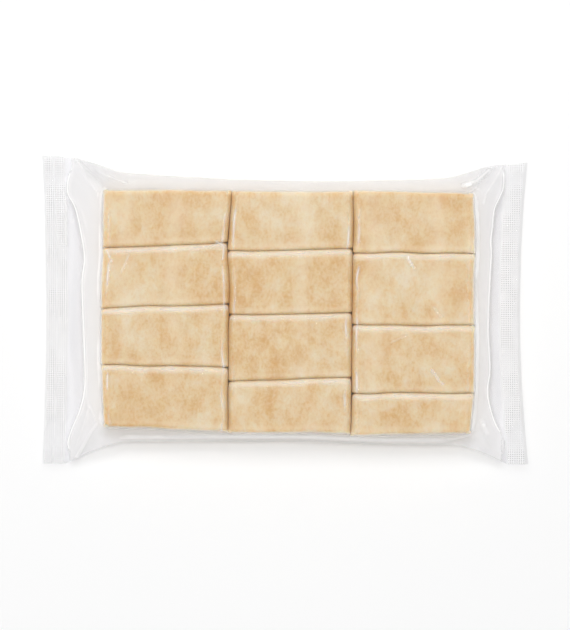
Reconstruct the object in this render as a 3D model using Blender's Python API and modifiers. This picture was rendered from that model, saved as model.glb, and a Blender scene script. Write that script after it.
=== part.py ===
# Clear vacuum pack of twelve smoked tofu blocks, lying flat.
# Metres, +Z up. The origin is on the resting surface, under the middle of the pack.
# The film and what it wraps are one closed solid, because the film clings to the tofu:
# twelve uneven blocks, the grooves the film is drawn into, and the thin web and end seals round them.

import math

import bmesh
import bpy
from mathutils import Vector, noise

MM = 0.001  # the sizes below are in millimetres

# Tofu blocks, in three columns of four. The upright lines are the columns' sides, each given
# where it meets the five seams, from the far seam (+Y) to the near one.
UPRIGHTS = (
    (-112.0, -112.4, -113.4, -113.2, -112.4),
    (-32.8, -35.0, -34.6, -34.8, -35.6),
    (42.2, 41.4, 41.2, 40.9, 39.8),
    (115.2, 115.7, 115.7, 115.4, 113.4),
)
# The seams of each column, far to near, as (height on the page at its left end, at its right end).
SEAMS = (
    ((73.2, 73.0), (38.2, 41.2), (1.0, 3.6), (-33.4, -35.4), (-71.0, -74.2)),
    ((72.8, 72.2), (36.2, 37.8), (-2.9, -1.4), (-43.6, -41.6), (-74.6, -75.4)),
    ((72.6, 71.0), (35.2, 34.8), (-8.9, -9.6), (-51.2, -50.8), (-76.4, -75.2)),
)
BLOCK_HEIGHT = 28.0
HEIGHT_SPREAD = 0.5  # how much thicker or thinner one block is than the next
BLOCK_GAP = 0.9  # between neighbours, filled by the core below the groove
CROWN = 0.7  # swell of a block's top at its middle
EDGE_ROUND = 3.0
EDGE_STEPS = 3
WAVER = 0.5  # how far a cut side strays from straight
GROOVE_DEPTH = 2.6  # how far the film sinks between blocks
CORE_INSET = 2.0  # the core stays this far behind the outer blocks' sides

# Film: the pouch's outline, its web round the tofu and the flat seals at both ends.
PACK_HALF_LENGTH = 150.0
END_HALF_WIDTH = 95.2
FAR_WAIST = 79.4
NEAR_WAIST = 81.2
WAIST_CENTRE = 25.0  # where the far side is drawn in most
WAIST_BOW = 0.00034  # the far side's curve towards the ends, per millimetre
FAR_FLARE = 6.2
NEAR_FLARE = 13.6
FAR_FLARE_SPAN = (96.0, 132.0)  # where along the pack the sides open out to the corners
NEAR_FLARE_SPANS = ((102.0, 138.0), (108.0, 138.0))  # left end, right end
NEAR_SLANT = 2.2  # the near side runs a little outwards to the right
LEFT_HOLLOW = 2.4  # how far the end seals' edges curve in
RIGHT_HOLLOW = 5.0
SEAL_WIDTH = 13.5
RIDGE_REACH = 125.4  # the fold that runs across each end, between bundle and seal
RIDGE_SPREAD = 9.0
RIDGE_HEIGHT = 1.4
FILM_THICKNESS = 1.0
WEB_HEIGHT = 13.0  # middle of the web above the table, beside the tofu
SEAL_HEIGHT = 8.0  # the ends droop
SEAL_WAVE = 0.8
FOOT_RISE = 6.0  # the film's curve up and down the tofu's sides
FOOT_REACH = 6.0

# Cells of the film's grid, from an end to the bundle and across it.
SEAL_CELLS = 3
SHOULDER_CELLS = 3
FOOT_CELLS = 4
BUNDLE_CELLS = 12
FLANGE_CELLS = 4
DEPTH_CELLS = 10


def smooth(low, high, value):
    """0 below low, 1 above high, and a smooth step between."""
    t = min(max((value - low) / (high - low), 0.0), 1.0)
    return t * t * (3.0 - 2.0 * t)


def mix(a, b, t):
    return a + (b - a) * t


def along_line(marks, value):
    """Follow a broken line of (place, height) marks, level beyond its two ends."""
    if value <= marks[0][0]:
        return marks[0][1]
    for (start, low), (end, high) in zip(marks, marks[1:]):
        if value <= end:
            return mix(low, high, (value - start) / (end - start))
    return marks[-1][1]


def bundle_side(x, seam):
    """The bundle's far side (seam 0) or near side (seam -1) at a place along the pack."""
    marks = []
    for column, seams in enumerate(SEAMS):
        marks.append((UPRIGHTS[column][seam] + BLOCK_GAP, seams[seam][0]))
        marks.append((UPRIGHTS[column + 1][seam] - BLOCK_GAP, seams[seam][1]))
    return along_line(marks, x)


def bundle_end(y, side):
    """The bundle's left (side -1) or right (side 1) end at a place across the pack."""
    column, end = (0, 0) if side < 0.0 else (-1, 1)
    uprights = UPRIGHTS[column]
    heights = [seam[end] for seam in SEAMS[column]]
    return along_line(list(zip(reversed(heights), reversed(uprights))), y)


def far_edge(x):
    bow = WAIST_BOW * (x - WAIST_CENTRE) ** 2
    flare = FAR_FLARE * smooth(*FAR_FLARE_SPAN, abs(x))
    return min(FAR_WAIST + bow + flare, END_HALF_WIDTH)


def near_edge(x):
    slant = NEAR_SLANT * smooth(0.0, 70.0, x)
    span = NEAR_FLARE_SPANS[0] if x < 0.0 else NEAR_FLARE_SPANS[1]
    return -min(NEAR_WAIST + slant + NEAR_FLARE * smooth(*span, abs(x)), END_HALF_WIDTH)


def end_edge(y, side):
    hollow = LEFT_HOLLOW if side < 0.0 else RIGHT_HOLLOW
    return side * (PACK_HALF_LENGTH - hollow * (1.0 - min(abs(y) / END_HALF_WIDTH, 1.0) ** 2))


def ridge_line(y, side):
    return side * (RIDGE_REACH + RIDGE_SPREAD * smooth(50.0, 90.0, abs(y)))


def material(name, colour, roughness):
    made = bpy.data.materials.new(name)
    made.use_nodes = True
    shader = made.node_tree.nodes["Principled BSDF"]
    shader.inputs["Base Color"].default_value = (*colour, 1.0)
    shader.inputs["Roughness"].default_value = roughness
    shader.inputs["Metallic"].default_value = 0.0
    return made


def block_corners(column, row):
    """The block's corners in plan, anticlockwise from its near left one, inset by half a gap."""
    left = UPRIGHTS[column]
    right = UPRIGHTS[column + 1]
    far = SEAMS[column][row]
    near = SEAMS[column][row + 1]
    half = BLOCK_GAP / 2.0
    return (
        Vector((left[row + 1] + half, near[0] + half)),
        Vector((right[row + 1] - half, near[1] + half)),
        Vector((right[row] - half, far[1] - half)),
        Vector((left[row] + half, far[0] - half)),
    )


def add_block(column, row, home):
    """One tofu block: a box set out on its four corners, its sides a little wavy, its top swelling."""
    near_left, near_right, far_right, far_left = block_corners(column, row)
    seed = Vector((7.3 * column, 5.1 * row, 0.0))
    height = BLOCK_HEIGHT + HEIGHT_SPREAD * noise.noise(seed * 1.7)

    cage = bmesh.new()
    bmesh.ops.create_cube(cage, size=1.0)
    lengthwise = [e for e in cage.edges if abs(e.verts[0].co.x - e.verts[1].co.x) > 0.5]
    bmesh.ops.subdivide_edges(cage, edges=lengthwise, cuts=3)
    crosswise = [e for e in cage.edges if abs(e.verts[0].co.y - e.verts[1].co.y) > 0.5]
    bmesh.ops.subdivide_edges(cage, edges=crosswise, cuts=1)
    for vert in cage.verts:
        u, v, w = (part + 0.5 for part in vert.co)
        plan = near_left.lerp(near_right, u).lerp(far_left.lerp(far_right, u), v)
        stray = noise.noise_vector(Vector((plan.x, plan.y, 20.0 * w)) * 0.05 + seed)
        swell = 16.0 * u * (1.0 - u) * v * (1.0 - v)
        inner = u * (1.0 - u) * v * (1.0 - v) > 0.001
        waver = 0.0 if inner else WAVER
        vert.co = Vector((
            plan.x + waver * stray.x,
            plan.y + waver * stray.y,
            w * (height + CROWN * swell),
        )) * MM

    name = f"block_{column + 1}_{row + 1}"
    mesh = bpy.data.meshes.new(name)
    cage.to_mesh(mesh)
    cage.free()
    block = bpy.data.objects.new(name, mesh)
    home.objects.link(block)
    rounding = block.modifiers.new("rounded edges", 'BEVEL')
    rounding.width = EDGE_ROUND * MM
    rounding.segments = EDGE_STEPS
    rounding.limit_method = 'ANGLE'
    rounding.angle_limit = math.radians(40.0)
    return block


def stations():
    """The film grid's lines along the pack, each as (landmark before, landmark after, share)."""
    lines = []
    for start, cells in enumerate((SEAL_CELLS, SHOULDER_CELLS, FOOT_CELLS, BUNDLE_CELLS,
                                   FOOT_CELLS, SHOULDER_CELLS, SEAL_CELLS)):
        lines += [(start, step / cells) for step in range(cells)]
    lines.append((6, 1.0))
    return lines


def film_x(station, y):
    start, share = station
    marks = (
        end_edge(y, -1.0),
        end_edge(y, -1.0) + SEAL_WIDTH,
        ridge_line(y, -1.0),
        bundle_end(y, -1.0),
        bundle_end(y, 1.0),
        ridge_line(y, 1.0),
        end_edge(y, 1.0) - SEAL_WIDTH,
        end_edge(y, 1.0),
    )
    return mix(marks[start], marks[start + 1], share)


def film_rows():
    """The film grid's lines across the pack, each as (band, share), near to far."""
    rows = []
    for band, cells in enumerate((FLANGE_CELLS, DEPTH_CELLS, FLANGE_CELLS)):
        rows += [(band, step / cells) for step in range(cells)]
    rows.append((2, 1.0))
    return rows


def film_y(row, x):
    band, share = row
    marks = (near_edge(x), bundle_side(x, -1), bundle_side(x, 0), far_edge(x))
    return mix(marks[band], marks[band + 1], share)


def web_middle(x, y):
    """Height of the film's middle layer: level beside the tofu, drooping to the end seals."""
    side = -1.0 if x < 0.0 else 1.0
    out = smooth(abs(bundle_end(y, side)), PACK_HALF_LENGTH - SEAL_WIDTH, abs(x))
    wave = SEAL_WAVE * math.sin(0.07 * y + side) * out
    return mix(WEB_HEIGHT, SEAL_HEIGHT, out) + wave


def foot_curve(x, y):
    """How far the film stands above the web beside the tofu, where it turns up the blocks' sides."""
    beyond_x = max(bundle_end(y, -1.0) - x, x - bundle_end(y, 1.0), 0.0)
    beyond_y = max(bundle_side(x, -1) - y, y - bundle_side(x, 0), 0.0)
    distance = math.hypot(beyond_x, beyond_y)
    return FOOT_RISE * max(1.0 - distance / FOOT_REACH, 0.0) ** 2


def ridge_curve(x, y):
    side = -1.0 if x < 0.0 else 1.0
    distance = abs(x - ridge_line(y, side))
    return RIDGE_HEIGHT * max(1.0 - distance / 3.0, 0.0)


def add_film(home):
    """The pouch's two layers as one thin sheet that runs through the bundle."""
    across = stations()
    along = film_rows()
    sheet = bmesh.new()
    bmesh.ops.create_grid(sheet, x_segments=len(across) - 1, y_segments=len(along) - 1, size=0.5)
    upper = {}
    for vert in sheet.verts:
        i = round((vert.co.x + 0.5) * (len(across) - 1))
        j = round((vert.co.y + 0.5) * (len(along) - 1))
        upper[vert] = (i, j)
    for vert, (i, j) in upper.items():
        level = mix(-END_HALF_WIDTH, END_HALF_WIDTH, j / (len(along) - 1))
        x = film_x(across[i], level)
        vert.co = Vector((x, film_y(along[j], x), 0.0))

    lower = bmesh.ops.extrude_face_region(sheet, geom=sheet.faces[:])["geom"]
    for vert in (item for item in lower if isinstance(item, bmesh.types.BMVert)):
        x, y, _ = vert.co
        vert.co.z = web_middle(x, y) - FILM_THICKNESS / 2.0 - foot_curve(x, y) + ridge_curve(x, y)
    for vert in upper:
        x, y, _ = vert.co
        vert.co.z = web_middle(x, y) + FILM_THICKNESS / 2.0 + foot_curve(x, y) + ridge_curve(x, y)
    bmesh.ops.recalc_face_normals(sheet, faces=sheet.faces[:])
    bmesh.ops.scale(sheet, vec=(MM, MM, MM), verts=sheet.verts[:])

    mesh = bpy.data.meshes.new("film")
    sheet.to_mesh(mesh)
    sheet.free()
    film = bpy.data.objects.new("film", mesh)
    home.objects.link(film)
    return film


def add_core(home):
    """What lies under the grooves: the inside of the bundle, which joins the blocks and the film."""
    left = UPRIGHTS[0][0] + CORE_INSET
    right = UPRIGHTS[-1][4] - CORE_INSET
    near = SEAMS[0][4][0] + CORE_INSET
    far = SEAMS[2][0][1] - CORE_INSET
    bottom = GROOVE_DEPTH
    top = BLOCK_HEIGHT - GROOVE_DEPTH
    bpy.ops.mesh.primitive_cube_add(
        size=1.0,
        location=(mix(left, right, 0.5) * MM, mix(near, far, 0.5) * MM, mix(bottom, top, 0.5) * MM),
        scale=((right - left) * MM, (far - near) * MM, (top - bottom) * MM),
    )
    core = bpy.context.object
    bpy.ops.object.transform_apply(location=True, rotation=False, scale=True)
    for old in core.users_collection:
        old.objects.unlink(core)
    home.objects.link(core)
    return core


def join(base, pieces):
    """Fuse everything in the pieces collection to the base, as one closed body."""
    union = base.modifiers.new("one body", 'BOOLEAN')
    union.operation = 'UNION'
    union.solver = 'EXACT'
    union.operand_type = 'COLLECTION'
    union.collection = pieces
    bpy.context.view_layer.objects.active = base
    base.select_set(True)
    bpy.ops.object.modifier_apply(modifier=union.name)
    for piece in list(pieces.objects):
        bpy.data.objects.remove(piece)
    bpy.data.collections.remove(pieces)


def main():
    for old in list(bpy.data.objects):
        bpy.data.objects.remove(old)

    pack_home = bpy.data.collections.new("smoked tofu pack")
    pieces = bpy.data.collections.new("pieces to join")
    bpy.context.scene.collection.children.link(pack_home)
    bpy.context.scene.collection.children.link(pieces)

    for column in range(len(SEAMS)):
        for row in range(len(SEAMS[column]) - 1):
            add_block(column, row, pieces)
    add_film(pieces)
    pack = add_core(pack_home)
    join(pack, pieces)

    pack.name = "tofu_pack"
    pack.data.name = "tofu_pack"
    pack.data.materials.clear()
    pack.data.materials.append(material("smoked tofu under clear film", (0.77, 0.58, 0.36), 0.35))
    pack.data.shade_smooth()
    pack.data.set_sharp_from_angle(angle=math.radians(35.0))


main()
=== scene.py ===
import math

import bpy
import numpy as np
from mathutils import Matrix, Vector, noise


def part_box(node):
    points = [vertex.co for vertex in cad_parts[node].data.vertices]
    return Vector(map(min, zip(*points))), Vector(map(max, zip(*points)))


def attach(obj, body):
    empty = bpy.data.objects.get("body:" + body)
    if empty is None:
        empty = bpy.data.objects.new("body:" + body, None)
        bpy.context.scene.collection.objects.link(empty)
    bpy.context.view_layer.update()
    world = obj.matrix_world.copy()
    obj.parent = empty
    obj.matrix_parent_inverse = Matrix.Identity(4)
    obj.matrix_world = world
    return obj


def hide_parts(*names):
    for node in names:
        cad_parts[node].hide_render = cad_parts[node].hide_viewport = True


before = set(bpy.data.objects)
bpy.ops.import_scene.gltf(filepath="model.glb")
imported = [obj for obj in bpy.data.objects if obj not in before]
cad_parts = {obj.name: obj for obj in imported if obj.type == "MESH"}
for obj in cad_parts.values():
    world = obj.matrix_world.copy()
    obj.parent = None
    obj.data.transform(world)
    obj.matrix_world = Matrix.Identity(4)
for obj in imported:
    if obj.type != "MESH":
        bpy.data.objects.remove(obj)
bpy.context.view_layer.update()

# Vacuum pack of smoked tofu, lying flat: twelve golden blocks under a clear film pouch.
# Everything is worked out in millimetres here and turned to metres where a mesh is made.

mm = 0.001
packLow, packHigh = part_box("tofu_pack")

bundle = {
    # the columns' sides where they meet the five seams, far to near
    "uprights": (
        (-111.0, -111.6, -112.5, -112.4, -111.0),
        (-32.8, -35.0, -34.6, -34.8, -35.6),
        (42.2, 41.4, 41.2, 40.9, 39.8),
        (115.2, 115.7, 115.7, 115.4, 113.4),
    ),
    # the seams of each column, far to near, at its left and right side
    "seams": (
        ((73.2, 73.0), (38.2, 41.2), (1.0, 3.6), (-33.4, -35.4), (-71.0, -74.2)),
        ((72.8, 72.2), (36.2, 37.8), (-2.9, -1.4), (-43.6, -41.6), (-74.6, -75.4)),
        ((72.6, 71.0), (35.2, 34.8), (-8.9, -9.6), (-51.2, -50.8), (-76.4, -75.2)),
    ),
    "blockHeight": 27.9,
    "heightSpread": 0.5,
    "crown": 0.35,
    "columnGap": 0.04,
    "seamGap": 0.02,
    # how far each edge rounds over: the cut ends, the far and near sides, and downwards
    "endRound": 4.2,
    "farRounds": (2.8, 5.2),  # in the far row, and in the others
    "nearRound": 1.4,
    "topRound": 2.5,
    "cornerRound": 4.0,  # the whole bundle's corners in plan
    "belly": 1.1,  # how far the outer sides swell out below their rounded shoulders
    "bellyHeights": ((2.5, 10.0), (14.0, 25.0)),  # it grows over the first span and goes over the second
    "squareDepths": (0.5, 2.2),  # the upright edges turn square over these depths, in top rounds
    "squarePowers": (2.0, 6.0),  # 2 is a round, more is squarer
    "waver": 0.55,  # how far the cut sides stray
    "waverSize": 17.0,
}

pouch = {
    "halfLength": (packHigh[0] - packLow[0]) / 2 / mm,
    "halfWidth": (packHigh[1] - packLow[1]) / 2 / mm,
    "farWaist": 79.4,
    "nearWaist": 81.2,
    "waistCentre": 25.0,
    "waistBow": 0.00034,
    "farFlare": 6.2,
    "nearFlare": 13.6,
    "farFlareSpan": (96.0, 132.0),
    "nearFlareSpans": ((97.0, 136.0), (104.0, 140.0)),  # left and right
    "nearFlareBend": 1.5,
    "nearSlant": 2.2,
    "nearSlantSpan": (0.0, 70.0),
    "hollows": (2.4, 5.0),  # how far the left and right end seals curve in
    "sealWidth": 13.5,
    "webHeight": 13.0,
    "sealHeight": 8.0,
    "sealWave": 0.8,
    "sealWaveTurn": 0.07,  # radians a millimetre
    "footReach": 1.6,  # the film comes down steeply this far out from the tofu, to a crease
    "wallReach": 10.0,  # and then runs out into the web over this distance
    "footRise": 3.0,  # the crease's height above the web
    "bend": 1.5,  # how quickly the web flattens out from the foot
    "grooveDepth": 1.0,
    "grooveInset": 1.5,  # over the seams' ends the film starts down this far inside the tofu's outline
    "rimSpan": (-1.0, 5.0),  # the film lies flat at its rim, and is free of it this far in
    "rimBend": 0.8,
    "cornerBlend": 1.5,  # what differs by side eases over like this round the corners
    "ripple": 0.12,  # slow unevenness of the web, and its size
    "rippleSize": 13.0,
    "settleRounds": 5,  # of relaxing the film over its sharp corners
    "settleShare": 0.6,
    "restGap": 0.12,  # film under the tofu, above the table
    "layerGap": 0.12,  # between the two sheets where they cling together
}


def smoothStep(low, high, value):
    share = np.clip((value - low) / (high - low), 0.0, 1.0)
    return share * share * (3.0 - 2.0 * share)


def between(a, b, share):
    return a + (b - a) * share


def softNoise(size, seed, x, y, z=0.0):
    # smooth random relief from -1 to 1: a seeded lattice of one size, eased between its knots
    knotCount, shift = 32, 500.0  # the knots repeat, and the shift keeps every place above zero
    knots = np.random.default_rng(seed).uniform(-1.0, 1.0, (knotCount, knotCount, knotCount))
    places = [np.asarray(part, float) / size + shift for part in np.broadcast_arrays(x, y, z)]
    cells = [np.floor(part).astype(int) for part in places]
    eased = [smoothStep(0.0, 1.0, part - cell) for part, cell in zip(places, cells)]
    total = 0.0
    for corner in range(8):
        steps = [(corner >> axis) & 1 for axis in range(3)]
        weight = 1.0
        for ease, step in zip(eased, steps):
            weight = weight * (ease if step else 1.0 - ease)
        i, j, k = ((cell + step) % knotCount for cell, step in zip(cells, steps))
        total = total + weight * knots[i, j, k]
    return total


def bundleSide(x, seam):
    marks = []
    for column, seams in enumerate(bundle["seams"]):
        marks.append((bundle["uprights"][column][seam] + bundle["columnGap"], seams[seam][0]))
        marks.append((bundle["uprights"][column + 1][seam] - bundle["columnGap"], seams[seam][1]))
    return np.interp(x, *zip(*marks))


def bundleEnd(y, side):
    column, end = (0, 0) if side < 0 else (-1, 1)
    heights = [seam[end] for seam in bundle["seams"][column]]
    return np.interp(y, heights[::-1], bundle["uprights"][column][::-1])


def uprightAt(y, line):
    # a column's side, taking the height of its seams as the mean of both neighbours'
    left = [seam[1] for seam in bundle["seams"][max(line - 1, 0)]]
    right = [seam[0] for seam in bundle["seams"][min(line, 2)]]
    heights = [(a + b) / 2 for a, b in zip(left, right)]
    return np.interp(y, heights[::-1], bundle["uprights"][line][::-1])


def farEdge(x):
    bow = pouch["waistBow"] * (x - pouch["waistCentre"]) ** 2
    flare = pouch["farFlare"] * smoothStep(*pouch["farFlareSpan"], np.abs(x))
    return np.minimum(pouch["farWaist"] + bow + flare, pouch["halfWidth"])


def nearEdge(x):
    slant = pouch["nearSlant"] * smoothStep(*pouch["nearSlantSpan"], x)
    flare = 0.0
    for side, (start, stop) in zip((-1, 1), pouch["nearFlareSpans"]):
        share = np.clip((side * x - start) / (stop - start), 0.0, 1.0)
        flare = flare + pouch["nearFlare"] * share ** pouch["nearFlareBend"]
    return -np.minimum(pouch["nearWaist"] + slant + flare, pouch["halfWidth"])


def endEdge(y, side):
    hollow = pouch["hollows"][0 if side < 0 else 1]
    toCorner = np.minimum(np.abs(y) / pouch["halfWidth"], 1.0)
    return side * (pouch["halfLength"] - hollow * (1.0 - toCorner ** 2))


def webMiddle(x, y):
    # the height of the film's web, drooping towards the end seals
    end = np.where(x < 0, np.abs(bundleEnd(y, -1)), np.abs(bundleEnd(y, 1)))
    out = smoothStep(end, pouch["halfLength"] - pouch["sealWidth"], np.abs(x))
    wave = pouch["sealWave"] * np.sin(pouch["sealWaveTurn"] * y + np.sign(x)) * out
    return between(pouch["webHeight"], pouch["sealHeight"], out) + wave


def blockPlan(column, row):
    # near left, near right, far right and far left corner
    left = bundle["uprights"][column]
    right = bundle["uprights"][column + 1]
    far = bundle["seams"][column][row]
    near = bundle["seams"][column][row + 1]
    inX, inY = bundle["columnGap"] / 2, bundle["seamGap"] / 2
    return np.array(((left[row + 1] + inX, near[0] + inY), (right[row + 1] - inX, near[1] + inY),
                     (right[row] - inX, far[1] - inY), (left[row] + inX, far[0] - inY)))


def blockHeight(column, row):
    place = Vector((7.3 * column, 5.1 * row, 0.0)) * 1.7  # any place in the noise, one for each block
    return bundle["blockHeight"] + bundle["heightSpread"] * noise.noise(place)


def bulge(u, v):
    # 1 in the middle of a face and 0 along its sides
    return 16.0 * u * (1.0 - u) * v * (1.0 - v)


def blockShoulder(plan, row, x, y):
    # how far the block's top rounds down at each place, how far outside it a place is, and its bulge
    sides = []
    for start, end in zip(plan, np.roll(plan, -1, axis=0)):
        run = (end - start) / np.hypot(*(end - start))
        sides.append((y - start[1]) * run[0] - (x - start[0]) * run[1])
    near, right, far, left = sides
    endRound, topRound = bundle["endRound"], bundle["topRound"]
    sideRound = np.where(near < far, bundle["nearRound"], bundle["farRounds"][min(row, 1)])
    inX, inY = np.minimum(left, right), np.minimum(near, far)
    across, along = np.maximum(1.0 - inX / endRound, 0.0), np.maximum(1.0 - inY / sideRound, 0.0)
    turned = np.hypot(across, along)  # 0 on the flat top, 1 where the side stands upright
    drop = topRound * (1.0 - np.sqrt(1.0 - np.minimum(turned, 1.0) ** 2))
    slant = np.hypot(across * endRound, along * sideRound) / np.maximum(turned, 1e-6)
    outside = np.where(turned > 1.0, (turned - 1.0) * slant, 0.0)
    u = np.clip(left / (left + right), 0.0, 1.0)
    v = np.clip(near / (near + far), 0.0, 1.0)
    return drop, outside, bulge(u, v), inX, far


def waver(x, y):
    # the sides stray a little, and neighbours stray together
    size = bundle["waverSize"]
    return bundle["waver"] * softNoise(size, 3, x, y), bundle["waver"] * softNoise(size, 4, x, y)


blockPlans = {(c, r): blockPlan(c, r) for c in range(3) for r in range(4)}


def lineThrough(points):
    # a smooth curve through the points, with eight steps from each to the next
    marks = np.array(points, float)
    padded = np.vstack([2 * marks[0] - marks[1], marks, 2 * marks[-1] - marks[-2]])
    t = np.linspace(0.0, 1.0, 8, endpoint=False)[:, None]
    runs = []
    for a, b, c, d in zip(padded[:-3], padded[1:-2], padded[2:-1], padded[3:]):
        runs.append(0.5 * (2 * b + (c - a) * t + (2 * a - 5 * b + 4 * c - d) * t ** 2
                           + (3 * b - a - 3 * c + d) * t ** 3))
    return np.vstack([*runs, marks[-1:]])


endRidges = (
    # the long ridges beside the left and the right seal
    ((-132.8, -88), (-134.2, -82), (-131.5, -73), (-126.5, -61), (-123.6, -46), (-124.2, -18),
     (-125.4, 16), (-123.8, 32), (-126, 47), (-129.5, 62.5), (-134.3, 72), (-134.2, 80), (-131.8, 87.5)),
    ((133.5, -77), (129.5, -70), (126.5, -61), (124.6, -50), (126.2, -36), (125, -10), (126.3, 22),
     (127.1, 34), (126.8, 42), (127.6, 50), (129, 62), (132.5, 70), (134.7, 76), (134.8, 88)),
)

usualFade = (0.08, 0.08)


def fold(places, height, widths, streak, white=0.0, creaseShade=0.0, fade=usualFade, onTofu=False):
    # A fold runs through its places and lifts the film over its widths, left and right of its run. Over the
    # width
    # "streak", "white" whitens its crest as a painted highlight, and its grey is painted shade along the
    # crease.
    # It fades over two shares of its length at its ends.
    return dict(line=lineThrough(places), height=height, widths=np.broadcast_to(widths, 2), white=white,
                creaseShade=creaseShade, streak=streak, fade=fade, onTofu=onTofu)


filmFolds = (
    # left end: the long ridge beside the seal, and the softer swell inside it
    fold(endRidges[0], 0.24, (2.4, 2.2), 0.62, white=0.92, fade=(0.02, 0.03)),
    fold(((-131, 71), (-126.5, 60), (-124, 52), (-121.5, 42)), 0.24, 2.4, 2.0, white=0.3, fade=(0.3, 0.5)),
    fold(((-124, -50), (-122, -59), (-121, -64)), 0.16, 2.0, 1.6, white=0.3, fade=(0.4, 0.3)),
    fold(((-135.3, 70), (-135.5, 55), (-135.2, 38)), 0.09, 0.8, 0.6, white=0.45),
    # far left corner: the fold that runs down to the tofu, and the flap beside it
    fold(((-130.5, 94), (-127.5, 90.5), (-122.5, 81), (-118.2, 75.6), (-115.2, 70), (-114.6, 60)), 0.26,
         (1.5, 3.5), 1.2, white=0.63, fade=(0.03, 0.3)),
    fold(((-129.5, 90), (-124.6, 80), (-119.6, 73.5)), 0.21, 2.4, 2.2, white=0.36, fade=(0.3, 0.4)),
    fold(((-111, 83.5), (-104, 80.6), (-97, 78.2)), 0.15, 1.2, 1.1, white=0.33),
    fold(((-120, 88), (-112, 82), (-106, 79)), 0.14, 1.4, 1.2, white=0.24),
    # near left corner: the tucked-in gusset, a lens between two folds
    fold(((-114.8, -66), (-116.5, -70.5), (-120.5, -76), (-126, -86), (-130, -92.5)), 0.28, (1.8, 3.0), 2.1,
         white=0.62, fade=(0.15, 0.05)),
    fold(((-115.6, -73), (-119.4, -77.8), (-124.6, -86.6), (-128.6, -92.8)), -0.19, 1.0, 1.3, creaseShade=0.24,
         fade=(0.2, 0.1)),
    fold(((-121.5, -58.5), (-122, -62), (-124.4, -70), (-128.5, -82), (-131, -88)), 0.24, (1.6, 1.8), 1.1,
         white=0.57, fade=(0.08, 0.2)),
    fold(((-121.5, -59), (-119.4, -62), (-117.4, -67), (-117.2, -71)), 0.24, (1.2, 1.6), 1.1, white=0.57,
         fade=(0.1, 0.2)),
    fold(((-120.5, -63), (-121.4, -70), (-125.4, -80), (-130, -89)), 0.08, 4.0, 2.6, white=0.5,
         fade=(0.15, 0.2)),
    # right end: the ridge, its glint by the near corner, and the far corner's folds
    fold(endRidges[1], 0.24, (2.4, 2.2), 0.58, white=0.92, fade=(0.02, 0.03)),
    fold(((134.3, -79), (134.4, -84), (134.2, -89)), 0.11, 0.9, 0.7, white=0.57, fade=(0.2, 0.2)),
    fold(((134.4, 90), (130.5, 82), (126, 75), (123.2, 70.5), (122, 65)), 0.26, (2.2, 1.6), 1.1, white=0.6,
         fade=(0.03, 0.2)),
    fold(((124.2, 72.5), (122.6, 67), (122, 62)), 0.16, 1.8, 1.5, white=0.63, fade=(0.25, 0.4)),
    fold(((128, 88.5), (123, 84), (118, 80), (111.5, 77), (107, 76.2)), 0.24, (1.6, 1.4), 1.2, white=0.57,
         fade=(0.15, 0.15)),
    fold(((116, 78.6), (113, 77.4), (109.5, 76.6)), 0.16, 1.6, 1.6, white=0.95, fade=(0.35, 0.35)),
    fold(((116, 75.8), (120.2, 73.6), (121.4, 70), (119.8, 66)), 0.19, 1.1, 0.7, white=0.48),
    # near right corner: the bright crumpled gusset
    fold(((121, -67), (122.2, -71), (124.6, -76.5), (127.6, -82)), 0.2, (2.2, 2.6), 3.0, white=0.6,
         fade=(0.1, 0.45)),
    fold(((121.2, -69.4), (122.2, -70.8), (123.4, -72.8)), 0.08, 1.6, 1.5, white=0.95, fade=(0.3, 0.4)),
    fold(((121.5, -74.4), (122.8, -77), (125.2, -82), (128, -87.4)), -0.2, 0.9, 0.7, creaseShade=0.48,
         fade=(0.2, 0.2)),
    fold(((117.4, -80.6), (120.5, -84), (124.4, -87.4)), 0.12, 1.2, 1.1, white=0.45, fade=(0.3, 0.3)),
    fold(((92, -80), (104, -79.4), (113, -77.2), (117.5, -74)), 0.16, 1.2, 1.2, white=0.63,
         fade=(0.25, 0.2)),
    fold(((96, -81.2), (105, -81), (112, -79.6)), -0.11, 0.8, 1.1, creaseShade=0.19, fade=(0.3, 0.3)),
)

tofuCreases = (
    # in the film where it lies on the tofu, painted highlights: places, height, whitening, its width and
    # the fades at the ends
    (((-109.8, 37.5), (-108, 33), (-106, 29)), 0.05, 0.6, 0.6, usualFade),
    (((-95.5, 35.5), (-98, 29), (-101, 22)), 0.04, 0.22, 0.8, usualFade),
    (((-43, 42.5), (-40, 40.6), (-37.5, 39.5)), 0.05, 0.55, 0.7, usualFade),
    (((-38.5, 41), (-37.8, 36), (-38.6, 30)), 0.05, 0.5, 0.6, usualFade),
    (((-50, 38.6), (-44, 39.6), (-40, 41.5)), 0.05, 0.35, 0.7, usualFade),
    (((75.2, 33.6), (76.2, 30), (80.3, 23.4)), 0.05, 0.7, 0.75, (0.1, 0.5)),
    (((89, -35.7), (92.9, -41.2), (94.5, -43.7), (97.6, -46.1)), 0.05, 0.5, 0.7, usualFade),
    (((90.5, 2.1), (93, -1.4), (96.2, -5.2)), 0.04, 0.25, 0.7, usualFade),
    (((64, -20.3), (69, -18), (75.3, -15.2)), 0.03, 0.16, 0.7, usualFade),
)

filmFolds += tuple(fold(places, height, 1, streak, white, fade=fade, onTofu=True)
                   for places, height, white, streak, fade in tofuCreases)


def distanceTo(line, x, y):
    # distance from the line, the side (left of its run is positive) and how far along it, 0 to 1
    start, run = line[:-1], np.diff(line, axis=0)
    length = np.hypot(run[:, 0], run[:, 1])
    place = np.stack([x, y], -1)[:, None, :] - start[None]
    along = np.clip((place * run).sum(-1) / length ** 2, 0.0, 1.0)
    gap = place - along[..., None] * run
    away = np.hypot(gap[..., 0], gap[..., 1])
    best = away.argmin(1)
    which = np.arange(len(x))
    side = np.sign(run[best, 0] * gap[which, best, 1] - run[best, 1] * gap[which, best, 0])
    reached = np.concatenate([[0.0], np.cumsum(length)])[best] + along[which, best] * length[best]
    return away[which, best], side, reached / length.sum()


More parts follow.
